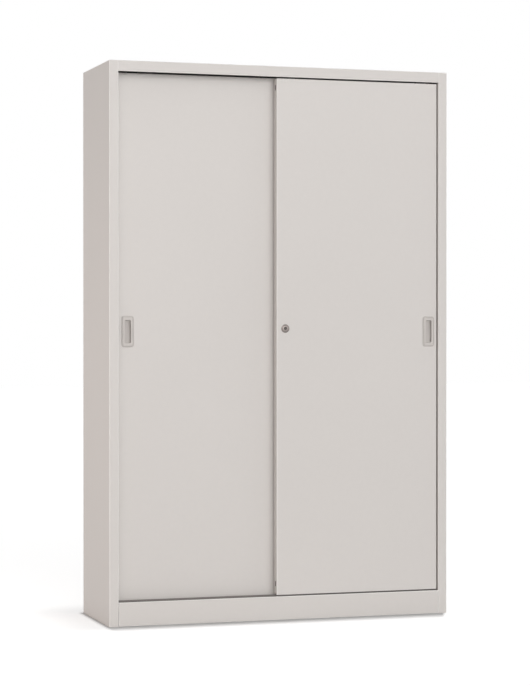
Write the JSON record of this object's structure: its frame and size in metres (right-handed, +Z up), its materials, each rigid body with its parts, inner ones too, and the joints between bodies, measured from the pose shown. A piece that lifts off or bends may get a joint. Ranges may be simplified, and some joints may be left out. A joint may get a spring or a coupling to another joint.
{
  "type": "sliding door cabinet",
  "caption": "Tall free-standing steel cupboard with overlapping sliding doors on rollers, flush finger pulls, a cam lock and height-adjustable shelves.",
  "frame": {"origin": "centre of the cabinet's footprint, on the floor", "axes": "+Z up, +X to the right seen from the front, +Y to the back; the doors are at the front, toward -Y"},
  "size_m": [1.25, 0.4, 1.95],
  "materials": {
    "coated_frame": "light warm grey powder coat, satin, fine texture",
    "coated_door": "light warm grey powder coat, satin, fine texture",
    "coated_shelf": "light warm grey powder coat, satin",
    "moulded_grey": "light grey moulded plastic, fine matt grain",
    "zinc_steel": "bright zinc plated sheet steel",
    "nickel": "dark smoked nickel plated, satin",
    "white_nylon": "natural white nylon",
    "black_nylon": "black nylon, matt",
    "dark_track": "dark warm grey enamel, satin",
    "dark_rubber": "black rubber, matt"
  },
  "bodies": {
    "cabinet": {"left_side_panel": "coated_frame", "right_side_panel": "coated_frame", "top_panel": "coated_frame", "front_plinth": "coated_frame", "rear_plinth": "coated_frame", "bottom_panel": "coated_frame", "back_panel_left": "coated_frame", "back_panel_right": "coated_frame", "back_joint_strip": "coated_frame", "front_bottom_track": "dark_track", "front_top_track": "black_nylon", "rear_bottom_track": "dark_track", "rear_top_track": "black_nylon", "left_stop_buffer": "dark_rubber", "right_stop_buffer": "dark_rubber", "front_upright_left": "zinc_steel", "rear_upright_left": "zinc_steel", "front_upright_right": "zinc_steel", "rear_upright_right": "zinc_steel", "shelf_1": "coated_shelf", "shelf_2": "coated_shelf", "shelf_3": "coated_shelf", "shelf_4": "coated_shelf", "shelf_rail_left_1": "zinc_steel", "shelf_rail_left_2": "zinc_steel", "shelf_rail_left_3": "zinc_steel", "shelf_rail_left_4": "zinc_steel", "shelf_rail_right_1": "zinc_steel", "shelf_rail_right_2": "zinc_steel", "shelf_rail_right_3": "zinc_steel", "shelf_rail_right_4": "zinc_steel"},
    "left_door": {"left_door_panel": "coated_door", "left_door_lower_channel": "zinc_steel", "left_door_upper_channel": "zinc_steel", "left_door_stiffener": "zinc_steel", "left_handle": "moulded_grey", "left_door_roller_bracket_left": "zinc_steel", "left_door_roller_bracket_right": "zinc_steel", "left_door_guide_left": "black_nylon", "left_door_guide_right": "black_nylon", "lock_striker": "zinc_steel"},
    "right_door": {"right_door_panel": "coated_door", "right_door_lower_channel": "zinc_steel", "right_door_upper_channel": "zinc_steel", "right_door_stiffener": "zinc_steel", "right_handle": "moulded_grey", "right_door_roller_bracket_left": "zinc_steel", "right_door_roller_bracket_right": "zinc_steel", "right_door_guide_left": "black_nylon", "right_door_guide_right": "black_nylon", "lock_body": "nickel", "lock_nut": "zinc_steel"},
    "left_door_left_roller": {"left_door_roller_left": "white_nylon"},
    "left_door_right_roller": {"left_door_roller_right": "white_nylon"},
    "right_door_left_roller": {"right_door_roller_left": "white_nylon"},
    "right_door_right_roller": {"right_door_roller_right": "white_nylon"},
    "lock_cylinder": {"key_cylinder": "nickel", "lock_cam": "zinc_steel", "cam_screw": "zinc_steel"}
  },
  "joints": [
    {"name": "left_door_slide", "type": "slide", "parent": "cabinet", "child": "left_door", "axis": [1, 0, 0], "range_m": [0, 0.568]},
    {"name": "right_door_slide", "type": "slide", "parent": "cabinet", "child": "right_door", "axis": [1, 0, 0], "range_m": [-0.568, 0]},
    {"name": "left_door_left_roller_spin", "type": "hinge", "parent": "left_door", "child": "left_door_left_roller", "pos_m": [-0.5185, -0.135, 0.0988], "axis": [0, 1, 0], "continuous": true},
    {"name": "left_door_right_roller_spin", "type": "hinge", "parent": "left_door", "child": "left_door_right_roller", "pos_m": [-0.0523, -0.135, 0.0988], "axis": [0, 1, 0], "continuous": true},
    {"name": "right_door_left_roller_spin", "type": "hinge", "parent": "right_door", "child": "right_door_left_roller", "pos_m": [0.0523, -0.176, 0.0988], "axis": [0, 1, 0], "continuous": true},
    {"name": "right_door_right_roller_spin", "type": "hinge", "parent": "right_door", "child": "right_door_right_roller", "pos_m": [0.5185, -0.176, 0.0988], "axis": [0, 1, 0], "continuous": true},
    {"name": "lock_turn", "type": "hinge", "parent": "right_door", "child": "lock_cylinder", "pos_m": [0.0138, -0.192, 1.0268], "axis": [0, -1, 0], "range_deg": [0, 90]}
  ],
  "couplings": [
    {"joint": "left_door_left_roller_spin", "follows": "left_door_slide", "rad_per_m": 92.593},
    {"joint": "left_door_right_roller_spin", "follows": "left_door_slide", "rad_per_m": 92.593},
    {"joint": "right_door_left_roller_spin", "follows": "right_door_slide", "rad_per_m": 92.593},
    {"joint": "right_door_right_roller_spin", "follows": "right_door_slide", "rad_per_m": 92.593}
  ]
}
